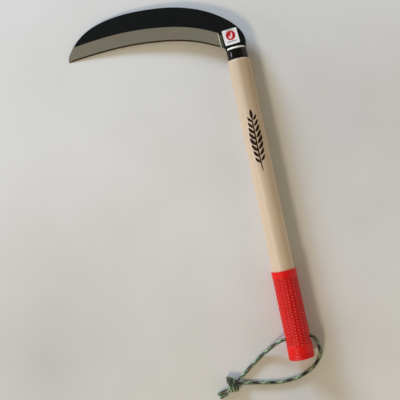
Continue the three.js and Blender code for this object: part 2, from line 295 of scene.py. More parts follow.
class Shader:
    """A node material: a Principled shader, and short calls for the textures that feed it.

    Its coordinates are millimetres: the tool's own frame for its rigid pieces, or else the scene's.
    Inputs given by name, with _ for a space, are uniform values of the Principled shader.
    """

    def __init__(self, name, on_tool=True, **inputs):
        self.material = bpy.data.materials.new(name)
        self.material.use_nodes = True
        self.tree = self.material.node_tree
        self.principled = self.tree.nodes["Principled BSDF"]
        for socket, value in inputs.items():
            self.principled.inputs[socket.replace("_", " ")].default_value = value
        frame_matrix = TOOL.inverted() if on_tool else Matrix.Scale(1 / MM, 4)
        location, rotation, scale = frame_matrix.decompose()
        self.coordinates = self.tree.nodes.new("ShaderNodeTexCoord").outputs["Object"]
        self.coordinates = self.place(scale, rotation.to_euler(), location)

    def set(self, socket, output):
        self.tree.links.new(output, self.principled.inputs[socket])

    def feed(self, socket, value):
        if isinstance(value, bpy.types.NodeSocket):
            self.tree.links.new(value, socket)
        else:
            socket.default_value = value

    def place(self, stretch, turn=(0, 0, 0), shift=(0, 0, 0)):
        """The coordinates multiplied by stretch along each axis, turned and shifted."""
        node = self.tree.nodes.new("ShaderNodeMapping")
        node.inputs["Location"].default_value = shift
        node.inputs["Rotation"].default_value = turn
        node.inputs["Scale"].default_value = stretch
        self.tree.links.new(self.coordinates, node.inputs["Vector"])
        return node.outputs["Vector"]

    def noise(self, size, stretch=(1, 1, 1), detail=3.0, vector=None):
        """Noise with features of about the given size, longer along the axes with a small stretch."""
        node = self.tree.nodes.new("ShaderNodeTexNoise")
        self.tree.links.new(vector or self.place(stretch), node.inputs["Vector"])
        node.inputs["Scale"].default_value = 1 / size
        node.inputs["Detail"].default_value = detail
        node.inputs["Roughness"].default_value = NOISE_ROUGHNESS
        return node.outputs["Fac"]

    def ramp(self, value, *stops):
        """A colour ramp through (position, colour) stops. A plain number is a grey."""
        node = self.tree.nodes.new("ShaderNodeValToRGB")
        elements = node.color_ramp.elements
        while len(elements) < len(stops):
            elements.new(1.0)
        for element, (position, colour) in zip(elements, stops):
            element.position = position
            element.color = colour if isinstance(colour, tuple) else (colour, colour, colour, 1)
        self.tree.links.new(value, node.inputs["Fac"])
        return node.outputs["Color"]

    def mix(self, factor, first, second, blend="MIX"):
        node = self.tree.nodes.new("ShaderNodeMix")
        node.data_type = "RGBA"
        node.blend_type = blend
        self.feed(node.inputs["Factor"], factor)
        self.feed(node.inputs[6], first)
        self.feed(node.inputs[7], second)
        return node.outputs[2]

    def math(self, operation, first, second=0.0):
        node = self.tree.nodes.new("ShaderNodeMath")
        node.operation = operation
        self.feed(node.inputs[0], first)
        self.feed(node.inputs[1], second)
        return node.outputs["Value"]

    def between(self, value, low, high, soft):
        """1 where the value lies between low and high, 0 outside, with soft borders."""
        centre = (low + high) / 2
        away = self.math("ABSOLUTE", self.math("SUBTRACT", value, centre))
        inside = self.math("SUBTRACT", (high - low) / 2 + soft / 2, away)
        node = self.tree.nodes.new("ShaderNodeClamp")
        self.tree.links.new(self.math("DIVIDE", inside, soft), node.inputs["Value"])
        return node.outputs["Result"]

    def patch(self, centre, radius):
        """1 at a place, falling smoothly to 0 at the radius round it."""
        node = self.tree.nodes.new("ShaderNodeTexGradient")
        node.gradient_type = "QUADRATIC_SPHERE"
        vector = self.place([1 / radius] * 3, shift=[-c / radius for c in centre])
        self.tree.links.new(vector, node.inputs["Vector"])
        return node.outputs["Fac"]

    def axis(self, name):
        """One coordinate, in millimetres."""
        node = self.tree.nodes.new("ShaderNodeSeparateXYZ")
        self.tree.links.new(self.coordinates, node.inputs["Vector"])
        return node.outputs[name]

    def combine(self, x, y, z):
        node = self.tree.nodes.new("ShaderNodeCombineXYZ")
        for socket, value in zip(node.inputs, (x, y, z)):
            self.feed(socket, value)
        return node.outputs["Vector"]

    def attribute(self, name, output="Color"):
        node = self.tree.nodes.new("ShaderNodeAttribute")
        node.attribute_name = name
        return node.outputs[output]

    def bump(self, height, depth):
        """Bump from a 0-1 height, with its full depth in millimetres."""
        node = self.tree.nodes.new("ShaderNodeBump")
        node.inputs["Distance"].default_value = depth * MM
        node.inputs["Strength"].default_value = 1
        self.tree.links.new(height, node.inputs["Height"])
        self.tree.links.new(node.outputs["Normal"], self.principled.inputs["Normal"])


def finish_piece(obj, slot, *nodes):
    """The piece rides on the object's only body and stands for the CAD nodes, which it hides. slot is not
    used.
    """
    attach(obj, BODY)
    if nodes:
        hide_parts(*nodes)
    return obj


# ---------------- camera, floor and light

CAMERA_GROUND = (14.3, -4.6)  # the point of the table straight below the camera
CAMERA_HEIGHT = 1000
CAMERA_AIM = (12.15, -13.33, 15)
CAMERA_UP = (0.209, 0.9779, 0)
CAMERA_LENS = 76.33

TABLE_HALF = 4.0  # half the side of the table top, in metres
PAINTED_SHADOW_PATCHES = (  # soft shadows painted on the table: middle, radius and how much darker
    ((-210, -160, 0), 310, 0.26),
    ((74, -268, 0), 180, 0.22),
    ((215, 40, 0), 280, 0.14),
)

ROOM_COLOUR = (1.0, 0.9, 0.69)
ROOM_STRENGTH = 0.5
ROOM_LEVELS = ((0.15, 1.0), (0.95, 0.45))  # brightness towards the walls and towards the ceiling

LIGHTS = (  # name, direction, distance and size in metres, watts and colour
    ("window_upper_left", (-0.62, 1.1, 0.43), 2.8, (1.1, 0.65), 106, (0.52, 0.7, 1.0)),
    ("window_far_left", (-2.3, 0.5, 0.62), 2.4, (0.3, 0.2), 8, (0.88, 0.94, 1.0)),
    ("lamp_lower_left", (-0.75, -0.6, 0.95), 2.6, (0.42, 0.42), 24, (1.0, 0.84, 0.62)),
    ("pale_wall_right", (1.0, -0.15, 0.35), 2.2, (2.4, 1.4), 7, (0.92, 0.92, 0.9)),
)


def make_camera():
    data = bpy.data.cameras.new("camera")
    data.lens = CAMERA_LENS
    data.sensor_width = 36
    data.clip_start = 0.01
    camera = bpy.data.objects.new("camera", data)
    bpy.context.scene.collection.objects.link(camera)
    camera.location = mm(*CAMERA_GROUND, CAMERA_HEIGHT)
    back = (camera.location - mm(*CAMERA_AIM)).normalized()
    right = Vector(CAMERA_UP).cross(back).normalized()
    up = back.cross(right)
    camera.rotation_euler = Matrix((right, up, back)).transposed().to_euler()
    bpy.context.scene.camera = camera


def table_material():
    """A pale sheet whose tone is a little uneven, with soft shadows painted into its colour."""
    paper = Shader("pale_table", on_tool=False, Roughness=0.85, Specular_IOR_Level=0.25)
    tone = paper.noise(120, detail=2.0)
    colour = paper.ramp(tone, (0.35, srgb(218, 215, 208)), (0.65, srgb(223, 220, 214)))
    # painted shadows: each patch darkens the table's colour towards a cool grey
    for centre, radius, shadow_depth in PAINTED_SHADOW_PATCHES:
        amount = paper.math("MULTIPLY", paper.patch(centre, radius), shadow_depth)
        colour = paper.mix(amount, colour, srgb(108, 114, 120))
    paper.set("Base Color", colour)
    paper.bump(paper.noise(1.2, detail=2.0), 0.03)
    return paper.material


def make_floor():
    side = TABLE_HALF
    corners = [(-side, -side, 0), (side, -side, 0), (side, side, 0), (-side, side, 0)]
    floor = new_object("table_top", corners, [(0, 1, 2, 3)], [table_material()])
    floor.location.z = -0.0001


def area_light(name, direction, distance, size, power, colour):
    """A rectangular light that shines on the origin. direction points from the origin to the light."""
    data = bpy.data.lights.new(name, "AREA")
    data.shape = "RECTANGLE"
    data.size, data.size_y = size
    data.energy = power
    data.color = colour
    light = bpy.data.objects.new(name, data)
    bpy.context.scene.collection.objects.link(light)
    light.location = Vector(direction).normalized() * distance
    light.rotation_euler = light.location.to_track_quat("Z", "Y").to_euler()


def make_room():
    """Warm walls all round, and a darker ceiling right above the table."""
    world = bpy.data.worlds.new("room")
    world.use_nodes = True
    tree = world.node_tree
    direction = tree.nodes.new("ShaderNodeTexCoord").outputs["Generated"]
    split = tree.nodes.new("ShaderNodeSeparateXYZ")
    tree.links.new(direction, split.inputs["Vector"])
    ramp = tree.nodes.new("ShaderNodeValToRGB")
    tree.links.new(split.outputs["Z"], ramp.inputs["Fac"])
    for element, (height, level) in zip(ramp.color_ramp.elements, ROOM_LEVELS):
        element.position = height
        element.color = (*[level * channel for channel in ROOM_COLOUR], 1)
    background = tree.nodes["Background"]
    tree.links.new(ramp.outputs["Color"], background.inputs["Color"])
    background.inputs["Strength"].default_value = ROOM_STRENGTH
    bpy.context.scene.world = world


def make_light():
    make_room()
    for light in LIGHTS:
        area_light(*light)
    bpy.context.scene.view_settings.view_transform = "Standard"


# ---------------- lanyard

CORD_CREST_R = 2.1  # to the crests of the braid's strands
CORD_SIDES = 40
CORD_STEP = 0.45  # distance between the rings of the cord's mesh
BRAID_STRANDS = 10  # in each of the braid's two directions
BRAID_LAY = 20  # length in which a strand goes once round the cord
BRAID_RELIEF = 0.3
CORD_INK = {
    "g": srgb(78, 102, 64),
    "l": srgb(146, 164, 128),
    "d": srgb(14, 17, 13),
    "b": srgb(98, 66, 52),
    "w": srgb(190, 196, 172),
}
BRAID_INK = ("dddgglwlgb", "lgglbgdddg")  # the colours of the strands in each direction

# The loop in millimetres, from the knot along the left run, through the handle and back on the right
LOOP_ROUTE = [
    (13.4, -229.4, 3.9),
    (17.6, -226.5, 2.9),
    (25, -221.5, 2.1),
    (32.7, -215.9, 2.1),
    (40.3, -210.8, 2.3),
    (48.2, -205.9, 3.6),
    (56.4, -200.7, 6.8),
    (63.8, -196.4, 10.6),
    (69.2, -193.8, 13.2),
    (75, -192.7, 14.3),
    (82, -192.7, 14.6),
    (90, -192.8, 15.1),
    (97, -192.8, 15.6),
    (102, -192.9, 15.8),
    (106, -194.5, 15.2),
    (109, -197.7, 13.7),
    (110.8, -201.6, 11.7),
    (112.2, -206.3, 9),
    (113.1, -211.8, 5.8),
    (113, -217.7, 3.4),
    (111, -223.5, 2.2),
    (106.9, -229.1, 2.1),
    (100.5, -234.3, 2.1),
    (92, -238.7, 2.1),
    (82, -241.8, 2.1),
    (73, -243, 2.1),
    (63, -243.1, 2.1),
    (52.2, -242, 2.1),
    (41.5, -239.9, 2.1),
    (30.9, -237.8, 2.1),
    (21.1, -235.7, 2.2),
    (16.1, -234.8, 3.2),
    (11.8, -234.2, 4.2),
]
HANDLE_POINT = 11  # the route's point in the middle of the handle
TAIL_ROUTES = [
    [(-4, -239, 3.2), (-8.4, -240.7, 2.4), (-15.1, -242.3, 1.9)],
    [(-4.3, -243.4, 3), (-8.4, -245.2, 2.4), (-13.8, -246.8, 1.9)],
]
TAIL_R = 1.8

KNOT_CENTRE = (4.5, -233.5, 5.5)
KNOT_TURN = math.radians(-10)
KNOT_TURNS = 3
KNOT_PITCH = 3.5
KNOT_REACH = 8.5  # from the knot's middle to the wraps' centreline, in plan
KNOT_RISE = 3.6  # the same, in height
KNOT_NARROWING = 0.5  # by how much each turn reaches less far than the one before
KNOT_LEAN = 1.4  # how far the ends of each wrap are pushed over, along the knot
KNOT_STRAND_R = 1.75
KNOT_CORE_R = 1.6  # of the strands that pass through the wraps


def braid(turn, distance):
    """Relief (0-1) and ink of the braid at a turn (0-1) round the cord and a distance along it.

    Each strand runs over two strands of the other direction, then under two.
    """
    lay = distance / BRAID_LAY
    position, crossing = (turn + lay) * BRAID_STRANDS, (turn - lay) * BRAID_STRANDS
    inks = BRAID_INK[0]
    if (math.floor(position) + math.floor(crossing)) // 2 % 2:
        position, crossing = crossing, position
        inks = BRAID_INK[1]
    strand = math.floor(position)
    rounding = math.sqrt(math.sin(math.pi * (position % 1)))
    rise = 0.65 + 0.35 * math.sin(math.pi * ((crossing + strand) / 2 % 1))
    return rounding * rise, CORD_INK[inks[strand % BRAID_STRANDS]]


def braided_strand(route, radius, start=0.0, pinch=0.0):
    """Vertices, faces, inks and centres of a braided cord.

    start is the braid's own distance at the cord's first ring. pinch narrows the end, where it is fused.
    """
    line = Line(spline(route))
    centres = line.spaced(CORD_STEP)
    tangents = [(b - a).normalized() for a, b in zip(centres, centres[1:])]
    tangents.append(tangents[-1])
    side = tangents[0].cross(Vector((0.1, 0, 1))).normalized()
    vertices, inks = [], []
    for i, (centre, tangent) in enumerate(zip(centres, tangents)):
        side = (side - tangent * side.dot(tangent)).normalized()
        over = tangent.cross(side)
        left = line.length * (1 - i / (len(centres) - 1))
        narrowing = 1 - pinch * max(0.0, 1 - left / (0.9 * radius)) ** 2
        for j in range(CORD_SIDES):
            turn = j / CORD_SIDES
            relief, ink = braid(turn, start + i * CORD_STEP)
            r = (radius - BRAID_RELIEF * (1 - relief)) * narrowing
            angle = 2 * math.pi * turn
            vertices.append(centre + side * (r * math.cos(angle)) + over * (r * math.sin(angle)))
            inks.append(ink)
    return vertices, ring_faces(len(centres), CORD_SIDES), inks, centres


def braided_piece(name, strands, material):
    """One object from strands, with their inks as a colour attribute."""
    vertices, faces, _ = join_parts([(strand[0], strand[1], 0) for strand in strands])
    obj = new_object(name, vertices, faces, [material], sharp_angle=60, matrix=Matrix.Scale(MM, 4))
    layer = obj.data.color_attributes.new("ink", "FLOAT_COLOR", "POINT")
    layer.data.foreach_set("color", [c for strand in strands for ink in strand[2] for c in ink])
    return obj


def cord_material():
    cord = Shader("camouflage_cord", on_tool=False, Roughness=0.8, Sheen_Weight=0.2)
    fibre = cord.noise(0.35, detail=2.0)
    worn = cord.ramp(fibre, (0.3, 0.75), (0.7, 1.0))
    cord.set("Base Color", cord.mix(1.0, cord.attribute("ink"), worn, "MULTIPLY"))
    cord.bump(fibre, 0.08)
    return cord.material


def make_knot(material):
    """The overhand knot of the doubled cord: wraps side by side round the two strands that pass through."""
    place = Matrix.Translation(KNOT_CENTRE) @ Matrix.Rotation(KNOT_TURN, 4, "Z")
    wraps = []
    steps_per_turn = 16
    for i in range(KNOT_TURNS * steps_per_turn + 1):
        part = i / steps_per_turn
        angle = 2 * math.pi * part - math.pi / 2
        across = KNOT_PITCH * (part - KNOT_TURNS / 2) - KNOT_LEAN * math.cos(angle)
        reach = KNOT_REACH - KNOT_NARROWING * part
        wraps.append(place @ Vector((across, reach * math.cos(angle), KNOT_RISE * math.sin(angle))))
    strands = [braided_strand(wraps, KNOT_STRAND_R)]
    middle = Vector(KNOT_CENTRE)
    for end, tail in zip((LOOP_ROUTE[0], LOOP_ROUTE[-1]), TAIL_ROUTES):
        core = [end, Vector(end).lerp(middle, 0.6), Vector(tail[0]).lerp(middle, 0.4), tail[0]]
        strands.append(braided_strand(core, KNOT_CORE_R))
    knot = braided_piece("lanyard_knot_wraps", strands, material)
    return finish_piece(knot, "cord_fabric", "lanyard_knot")


def make_lanyard():
    material = cord_material()
    knot = make_knot(material)
    for i, route in enumerate(TAIL_ROUTES):
        strand = braided_strand(route, TAIL_R, 5 * i, pinch=0.3)
        tail = braided_piece(f"cord_end_{i + 1}", [strand], material)
        finish_piece(tail, "cord_fabric", f"lanyard_tail_{i + 1}")
    left_run = LOOP_ROUTE[HANDLE_POINT::-1]
    right_run = LOOP_ROUTE[HANDLE_POINT:]
    for name, route, side in (("left", left_run, -1), ("right", right_run, 1)):
        strand = braided_strand(route, CORD_CREST_R, 7 * side)
        run = braided_piece(f"lanyard_{name}_run", [strand], material)
        finish_piece(run, "cord_fabric", "lanyard_loop")
        path = [tuple(centre * MM) for centre in strand[3]]
        Line(path).length
        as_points(path)


# ---------------- handle, with its burnt mark

ROUND_SEGMENTS = 128
HANDLE_R = 13
BUTT_Y = 2.8
SHOULDER_Y = 354.8
SHOULDER_ROUND = 2.6
TENON_R = 10.6
WOOD_END_Y = 368.7
KERF_BOTTOM_Y = 293
KERF_HALF = 1.4
CROSS_HOLE_Y = 24.8
CROSS_HOLE_R = 2.6


def wood_material():
    wood = Shader("satin_wood", Specular_IOR_Level=0.5)
    bands = wood.noise(7, stretch=(1, 0.012, 1), detail=3.0)
    grain = wood.noise(0.7, stretch=(1, 0.02, 1), detail=4.0)
    pores = wood.noise(0.3, stretch=(1, 0.06, 1), detail=1.0)
    base = wood.ramp(
        bands,
        (0.3, srgb(199, 174, 144)),
        (0.5, srgb(208, 184, 155)),
        (0.72, srgb(216, 195, 168)),
    )
    along = wood.math("DIVIDE", wood.axis("Y"), WOOD_END_Y)
    browner = wood.ramp(along, (0.55, 1.0), (0.96, (0.83, 0.8, 0.75, 1)))
    base = wood.mix(1.0, base, browner, "MULTIPLY")
    end = wood.between(wood.axis("Y"), FERRULE_TOP_Y - 1, WOOD_END_Y + 1, 0.5)
    base = wood.mix(end, base, srgb(236, 228, 204))
    streaks = wood.mix(0.55, base, wood.ramp(grain, (0.3, 0.86), (0.65, 1.04)), "MULTIPLY")
    flecks = wood.ramp(pores, (0.66, 1.0), (0.74, 0.78))
    wood.set("Base Color", wood.mix(0.6, streaks, flecks, "MULTIPLY"))
    wood.set("Roughness", wood.ramp(grain, (0.3, 0.5), (0.7, 0.38)))
    wood.bump(grain, 0.02)
    return wood.material


def make_handle():
    foot = SHOULDER_Y - SHOULDER_ROUND
    profile = [
        (0, BUTT_Y),
        *arc(HANDLE_R - 1, BUTT_Y + 1, 1, -90, 0, 4),
        *arc(HANDLE_R - SHOULDER_ROUND, foot, SHOULDER_ROUND, 0, 78, 10),
        (TENON_R, SHOULDER_Y),
        *arc(TENON_R - 0.6, WOOD_END_Y - 0.6, 0.6, 0, 90, 4),
        (0, WOOD_END_Y),
    ]
    vertices, faces = turned(profile, ROUND_SEGMENTS)
    obj = new_object("wooden_handle", vertices, faces, [wood_material()], matrix=TOOL)
    reach = 2 * HANDLE_R
    cut(
        obj,
        box_cutter((-reach, KERF_BOTTOM_Y, -KERF_HALF), (reach, WOOD_END_Y + 5, KERF_HALF)),
        drill(CROSS_HOLE_R, (-reach, CROSS_HOLE_Y, 0), (reach, CROSS_HOLE_Y, 0)),
        drill(NAIL_HOLE_R, (0, NAIL_Y, -reach), (0, NAIL_Y, NAIL_HOLE_TOP_Z), 24),
        sharp_angle=35,
    )
    finish_piece(obj, "wood", "handle")


MARK_X = 1.5
MARK_LOW_Y = 222
MARK_HIGH_Y = 294
MARK_LEAF_PAIRS = 8
MARK_HEIGHT = 0.035  # the char's thickness on the wood


def on_handle(across, along, height):
    """A point on the handle's round surface, from its place in the unrolled surface."""
    angle = across / HANDLE_R
    radius = HANDLE_R + height
    return radius * math.sin(angle), along, radius * math.cos(angle)


def burnt_stroke(foot, direction, length, width, bend, blunt=0.7):
    """A leaf-shaped stroke laid on the handle. A smaller blunt gives it a rounder foot and tip."""
    across_steps = 4

    def half_width_at(part):
        return width / 2 * math.sin(math.pi * (0.04 + 0.94 * part)) ** blunt

    vertices = []
    sides = leaf_sides(foot, direction, length, bend, half_width_at, 14)
    for left, right in sides:
        top = [left.lerp(right, k / across_steps) for k in range(across_steps + 1)]
        vertices += [on_handle(*p, MARK_HEIGHT) for p in top]
        vertices += [on_handle(*p, -MARK_HEIGHT) for p in reversed(top)]
    return vertices, ring_faces(len(sides), 2 * (across_steps + 1)), 0


def char_material():
    char = Shader("burnt_wood", Roughness=0.85, Specular_IOR_Level=0.2)
    tone = char.noise(1.1, stretch=(1, 0.25, 1), detail=4.0)
    colour = char.ramp(
        tone,
        (0.3, srgb(24, 12, 6)),
        (0.55, srgb(40, 22, 12)),
        (0.75, srgb(74, 46, 26)),
    )
    char.set("Base Color", colour)
    char.bump(tone, 0.03)
    return char.material


def make_mark():
    """A plain sprig burnt into the wood along the handle."""
    height = MARK_HIGH_Y - MARK_LOW_Y
    stem_x = MARK_X - 0.5
    strokes = [burnt_stroke((stem_x, MARK_LOW_Y), 92, height * 0.9, 1.8, -4, 0.35)]
    for i in range(MARK_LEAF_PAIRS):
        part = i / (MARK_LEAF_PAIRS - 1)
        foot = MARK_LOW_Y + height * (0.14 + 0.66 * part)
        size = 11.5 - 3.5 * abs(2 * part - 0.9)
        for side in (-1, 1):
            start = (stem_x + side * 0.7, foot + (1.8 if side > 0 else 0))
            strokes.append(burnt_stroke(start, 90 - side * 52, size, size * 0.36, side * 34))
    strokes.append(burnt_stroke((MARK_X - 0.6, MARK_HIGH_Y - 11), 90, 11, 3.6, 0))
    vertices, faces, _ = join_parts(strokes)
    obj = new_object("burnt_sprig", vertices, faces, [char_material()], sharp_angle=40, matrix=TOOL)
    finish_piece(obj, "wood")


# ---------------- ferrule and nail

FERRULE_R = 11.75
FERRULE_WALL = 0.85
FERRULE_BOTTOM_Y = 355.1
FERRULE_TOP_Y = 366.5
FERRULE_ROUND = 0.4
FERRULE_SEGMENTS = 256
SEAM_HALF = math.radians(1.4)
SEAM_DEPTH = 0.18
NAIL_R = 1.5
NAIL_HEAD_R = 2.8
NAIL_HEAD_THICKNESS = 0.8
NAIL_HOLE_R = 1.8
NAIL_HOLE_TOP_Z = 6.8
NAIL_Y = 360.8


def glossy_black_material():
    black = Shader("glossy_black_steel", Specular_IOR_Level=0.22)
    smear = black.noise(3.5, stretch=(1, 0.5, 1), detail=4.0)
    black.set("Base Color", black.ramp(smear, (0.35, srgb(5, 5, 6)), (0.7, srgb(14, 14, 14))))
    black.set("Roughness", black.ramp(smear, (0.3, 0.06), (0.75, 0.2)))
    black.bump(black.noise(0.8, detail=3.0), 0.02)
    return black.material


def make_ferrule():
    inner = FERRULE_R - FERRULE_WALL
    rim = FERRULE_R - FERRULE_ROUND

    def seam(radius, y, angle):
        """The brazed seam on the underside is a shallow groove."""
        depth = SEAM_DEPTH * max(0.0, 1 - abs(angle - math.pi) / SEAM_HALF)
        return radius - depth if radius > inner else radius

    profile = [
        (inner, FERRULE_BOTTOM_Y),
        *arc(rim, FERRULE_BOTTOM_Y + FERRULE_ROUND, FERRULE_ROUND, -90, 0, 5),
        (FERRULE_R + 0.03, (FERRULE_BOTTOM_Y + FERRULE_TOP_Y) / 2),
        *arc(rim, FERRULE_TOP_Y - FERRULE_ROUND, FERRULE_ROUND, 0, 90, 5),
        (inner, FERRULE_TOP_Y),
    ]
    vertices, faces = turned(profile, FERRULE_SEGMENTS, seam)
    obj = new_object("black_ferrule", vertices, faces, [glossy_black_material()], matrix=TOOL)
    cut(obj, drill(NAIL_HOLE_R, (0, NAIL_Y, -2 * FERRULE_R), (0, NAIL_Y, -5), 32), sharp_angle=35)
    finish_piece(obj, "black_steel", "ferrule")


def nail_material():
    steel = Shader("bright_nail_steel", Metallic=1.0)
    spots = steel.noise(0.6, detail=4.0)
    steel.set("Base Color", steel.ramp(spots, (0.35, srgb(120, 112, 102)), (0.6, srgb(176, 172, 164))))
    steel.set("Roughness", steel.ramp(spots, (0.3, 0.6), (0.7, 0.3)))
    steel.bump(spots, 0.03)
    return steel.material


def make_nail():
    """The nail is turned about Y with the top of its head at 0, then points up through the underside."""
    head = NAIL_HEAD_THICKNESS
    profile = [
        (0, 0),
        *[(NAIL_HEAD_R * math.sin(a), head * (1 - math.cos(a))) for a in (0.4, 0.7, 1.0, 1.25, 1.5)],
        (NAIL_HEAD_R, head),
        (NAIL_R + 0.2, head),
        (NAIL_R, head + 0.4),
        (NAIL_R, head + 15.5),
        (0.3, head + 18.4),
        (0, head + 18.5),
    ]
    vertices, faces = turned(profile, 40)
    foot = Matrix.Translation((0, NAIL_Y, -FERRULE_R - head - 0.05))
    place = TOOL @ foot @ Matrix.Rotation(math.pi / 2, 4, "X")
    obj = new_object("tang_nail_head", vertices, faces, [nail_material()], sharp_angle=35, matrix=place)
    finish_piece(obj, "nail_steel", "tang_nail")


# ---------------- blade

BLADE_TOP = 1.1
BLADE_BOTTOM = -1.1
EDGE_THICKNESS = 0.12
HONED_WIDTH = 2  # the fine bevel at the very edge
HONED_RISE = 0.3
BEVEL_WIDTH = 16.6
BEVEL_END_NARROWING = 1.8
BEVEL_STATIONS = 110
BEVEL_ROWS = 6
FLAT_ROWS = 6
HEEL_STATIONS = 8  # from the end of the bevel to the heel's corner
NECK_STATIONS = 4  # from there to the neck
RUN_OUT = 1.4  # where the grinding ends, its floor rises to the flat over this length
CHAMFER = 0.3
BACK_GROUND_WIDTH = 4  # of the strip along the edge that is ground on the underside
NECK_HALF_WIDTH = 11.8
NECK_Y = 366.8
TANG_RINGS = [  # the tang's two sides, down to the hook at its end
    ((-9.2, 366.6), (9.2, 366.6)),
    ((-5, 303.2), (5, 303.2)),
    ((-9, 303), (5, 303)),
    ((-9, 298), (5, 298)),
]
SPINE_POINTS = [
    (11.8, 366.8),
    (12.8, 374.3),
    (11.7, 382.8),
    (6, 392.9),
    (-8, 406.3),
    (-30, 419.7),
    (-60, 430),
    (-98, 434.9),
    (-132, 434.3),
    (-160, 428),
    (-178, 418.1),
    (-188.5, 407.3),
    (-194, 399.8),
    (-195.3, 393.8),
]
EDGE_POINTS = [
    (-195.3, 393.8),
    (-170, 396.1),
    (-144, 397.5),
    (-120, 397.5),
    (-95, 395.7),
    (-65, 391.1),
    (-41, 384),
    (-17, 372.9),
]
HEEL_CORNER = (-12.7, 370.2)
BEVEL_END_SPINE_X = -18.5  # the spine's point opposite the end of the bevel
HEEL_SPINE_Y = 384  # the spine's height opposite the heel's corner
BARE_LEFT_X = -18.5  # of the bare strip beside the heel
BARE_TOP_Y = 386.7
SPINE = Line(reversed(spline(SPINE_POINTS)))
EDGE = Line(spline(EDGE_POINTS))
SCALE, GROUND, HONED, FACET = range(4)


def bevel_width(along):
    part = along / EDGE.length
    return BEVEL_WIDTH - BEVEL_END_NARROWING * (2 * part - 1) ** 2


def ground_height(place):
    """The height of the blade's upper side at a place, and whether the grinding reaches it."""
    distance, along = EDGE.nearest(place)
    width = bevel_width(along)
    if distance >= width:
        return BLADE_TOP, False
    start = BLADE_BOTTOM + EDGE_THICKNESS
    if distance < HONED_WIDTH:
        return start + HONED_RISE * distance / HONED_WIDTH, True
    start += HONED_RISE
    return start + (BLADE_TOP - start) * (distance - HONED_WIDTH) / (width - HONED_WIDTH), True


def bevel_part(low, high):
    """How far from low to high the bevel reaches, as a part of the way, up to the back's chamfer."""
    inner, outer = 0.0, 1 - CHAMFER / (high - low).length
    if ground_height(low.lerp(high, outer))[1]:
        return outer
    for _ in range(24):
        middle = (inner + outer) / 2
        if ground_height(low.lerp(high, middle))[1]:
            inner = middle
        else:
            outer = middle
    return inner


def row_parts(low, high, first, bevel):
    """Where the rows of a section lie, as parts of the way from low to high."""
    last = 1 - CHAMFER / (high - low).length
    first = min(first / (high - low).length, 0.3)
    bevel = max(bevel, first)
    rows = [first + (bevel - first) * i / BEVEL_ROWS for i in range(BEVEL_ROWS)]
    rows += [bevel + (last - bevel) * i / FLAT_ROWS for i in range(FLAT_ROWS + 1)]
    return rows


def section(low, high, parts, height_at, edge_top, edge_bottom, under):
    """A ring round the blade: up over its top from the low side to the high side, and back below."""
    ring = [(*low, edge_top)]
    for part in parts:
        place = low.lerp(high, part)
        ring.append((*place, height_at(place)))
    back_top = ring[-1][2]
    chamfer = min(CHAMFER, 0.3 * (back_top - BLADE_BOTTOM))
    ring.append((*high, back_top - chamfer))
    ring.append((*high, BLADE_BOTTOM + chamfer))
    for part in (parts[-1], 0.6, min(under / (high - low).length, 0.3)):
        ring.append((*low.lerp(high, part), BLADE_BOTTOM))
    ring.append((*low, edge_bottom))
    return ring


def ground_section(low, high, bevel):
    """A section through the ground part, with the edge's thickness at its low side."""
    parts = row_parts(low, high, HONED_WIDTH, bevel)

    def height_at(place):
        return ground_height(place)[0]

    edge_top = BLADE_BOTTOM + EDGE_THICKNESS
    return section(low, high, parts, height_at, edge_top, BLADE_BOTTOM, BACK_GROUND_WIDTH)


def flat_section(low, high, bevel):
    """A section of full thickness, chamfered on both sides, with as many points as a ground one."""
    parts = row_parts(low, high, CHAMFER, bevel)

    def height_at(place):
        return BLADE_TOP

    return section(low, high, parts, height_at, BLADE_TOP - CHAMFER, BLADE_BOTTOM + CHAMFER, CHAMFER)


def bevelled_sections():
    """Sections through the ground part of the blade, from its tip to the end of the bevel."""
    heel_side = min(SPINE.points, key=lambda p: abs(p.x - BEVEL_END_SPINE_X))
    spine_length = SPINE.nearest(heel_side)[1]
    rings = []
    for i in range(BEVEL_STATIONS + 1):
        part = 0.004 + 0.996 * i / BEVEL_STATIONS
        low = EDGE.point(part * EDGE.length)
        high = SPINE.point(part * spine_length)
        bevel = bevel_part(low, high)
        rings.append(ground_section(low, high, bevel))
    return rings, (low, high, bevel)


def flat_sections(low, high, bevel):
    """Sections of full thickness, from just past the bevel to the end of the tang."""
    heel, neck = Vector(HEEL_CORNER), Vector((-NECK_HALF_WIDTH, NECK_Y))
    step = (heel - low).normalized() * RUN_OUT
    start = low + step
    spine_start = SPINE.nearest(high)[1] + RUN_OUT
    opposite = min(SPINE.points, key=lambda p: abs(p.y - HEEL_SPINE_Y) + max(0.0, -p.x))
    heel_at = SPINE.nearest(opposite)[1]
    pairs = [(start, SPINE.point(spine_start))]
    for first, last, first_at, last_at, count in (
        (start, heel, spine_start, heel_at, HEEL_STATIONS),
        (heel, neck, heel_at, SPINE.length, NECK_STATIONS),
    ):
        for i in range(1, count + 1):
            at = first_at + (last_at - first_at) * i / count
            pairs.append((first.lerp(last, i / count), SPINE.point(at)))
    pairs += [(Vector(a), Vector(b)) for a, b in TANG_RINGS]
    return [flat_section(a, b, bevel) for a, b in pairs]


